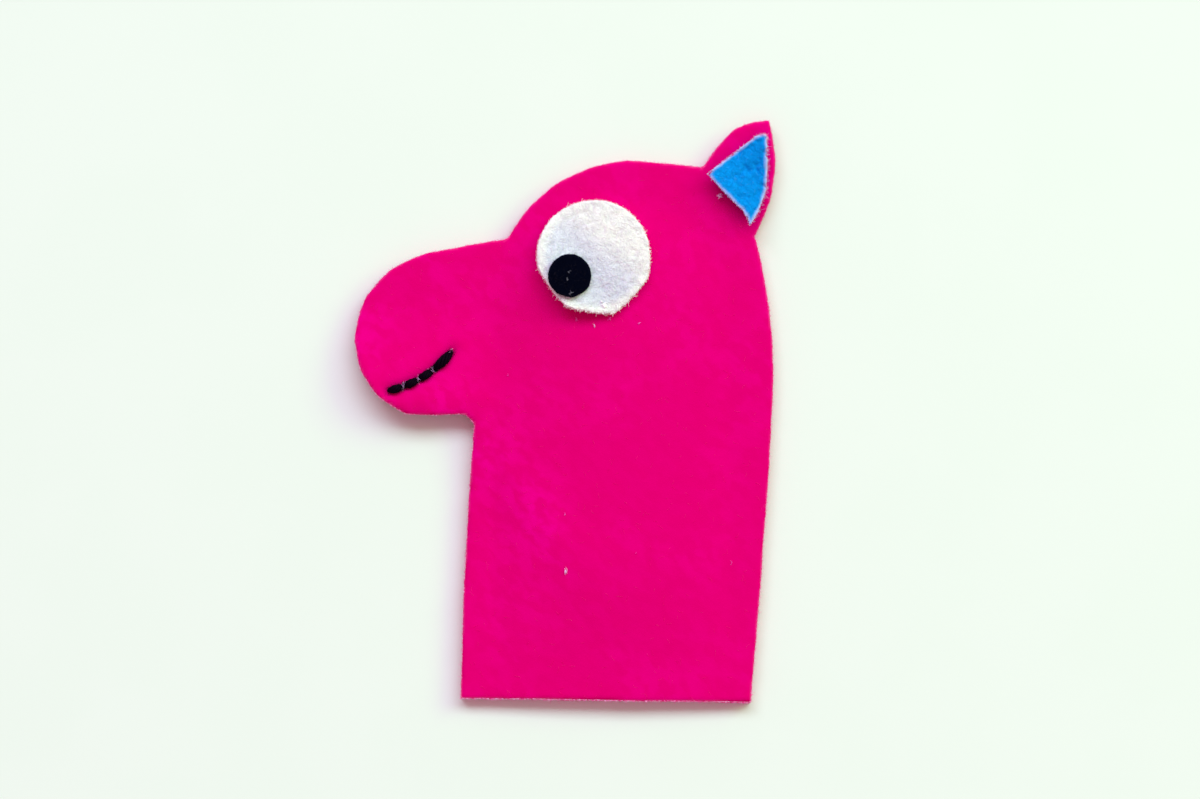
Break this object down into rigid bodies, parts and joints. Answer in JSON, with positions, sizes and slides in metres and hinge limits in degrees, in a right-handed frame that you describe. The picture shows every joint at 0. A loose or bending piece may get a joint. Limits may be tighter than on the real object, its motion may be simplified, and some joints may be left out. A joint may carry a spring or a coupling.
{
  "type": "hand puppet",
  "caption": "Felt finger puppet of a long-nosed animal in profile: two glued panels open at the hem, round eye, stitched smile, pointed ear with a blue lining.",
  "frame": {"origin": "middle of the bounding box in X and Y, on the surface that the puppet lies on", "axes": "+Y from the hem to the top of the head, +X from the nose side to the nape side, +Z out of the decorated front"},
  "size_m": [0.0714, 0.0988, 0.0101],
  "materials": {
    "pink_felt": "pressed felt, matt",
    "white_felt": "pressed felt, matt",
    "black_felt": "pressed felt, matt",
    "blue_felt": "pressed felt, matt",
    "black_floss": "stranded cotton, soft sheen",
    "fabric_glue": "dried clear glue"
  },
  "bodies": {
    "sleeve": {"back_panel_neck": "pink_felt", "front_panel_neck": "pink_felt", "seam_glue_throat": "fabric_glue", "seam_glue_nape": "fabric_glue"},
    "head": {"back_panel_head": "pink_felt", "front_panel_head": "pink_felt", "seam_glue_head": "fabric_glue", "eye_glue": "fabric_glue", "eye_white": "white_felt", "pupil_glue": "fabric_glue", "pupil": "black_felt", "mouth_stitches": "black_floss", "mouth_thread_inside": "black_floss"},
    "ear": {"back_panel_ear": "pink_felt", "front_panel_ear": "pink_felt", "seam_glue_ear": "fabric_glue", "inner_ear_glue": "fabric_glue", "inner_ear": "blue_felt"}
  },
  "joints": [
    {"name": "neck_bow", "type": "hinge", "parent": "sleeve", "child": "head", "pos_m": [0, -0.00685, 0.0039], "axis": [1, 0, 0], "range_deg": [0, 60], "stiffness_Nm_per_rad": 0.01},
    {"name": "ear_flap", "type": "hinge", "parent": "head", "child": "ear", "pos_m": [0.02607, 0.03418, 0.0013], "axis": [0.6011, -0.7992, 0], "range_deg": [0, 50], "stiffness_Nm_per_rad": 0.002}
  ]
}
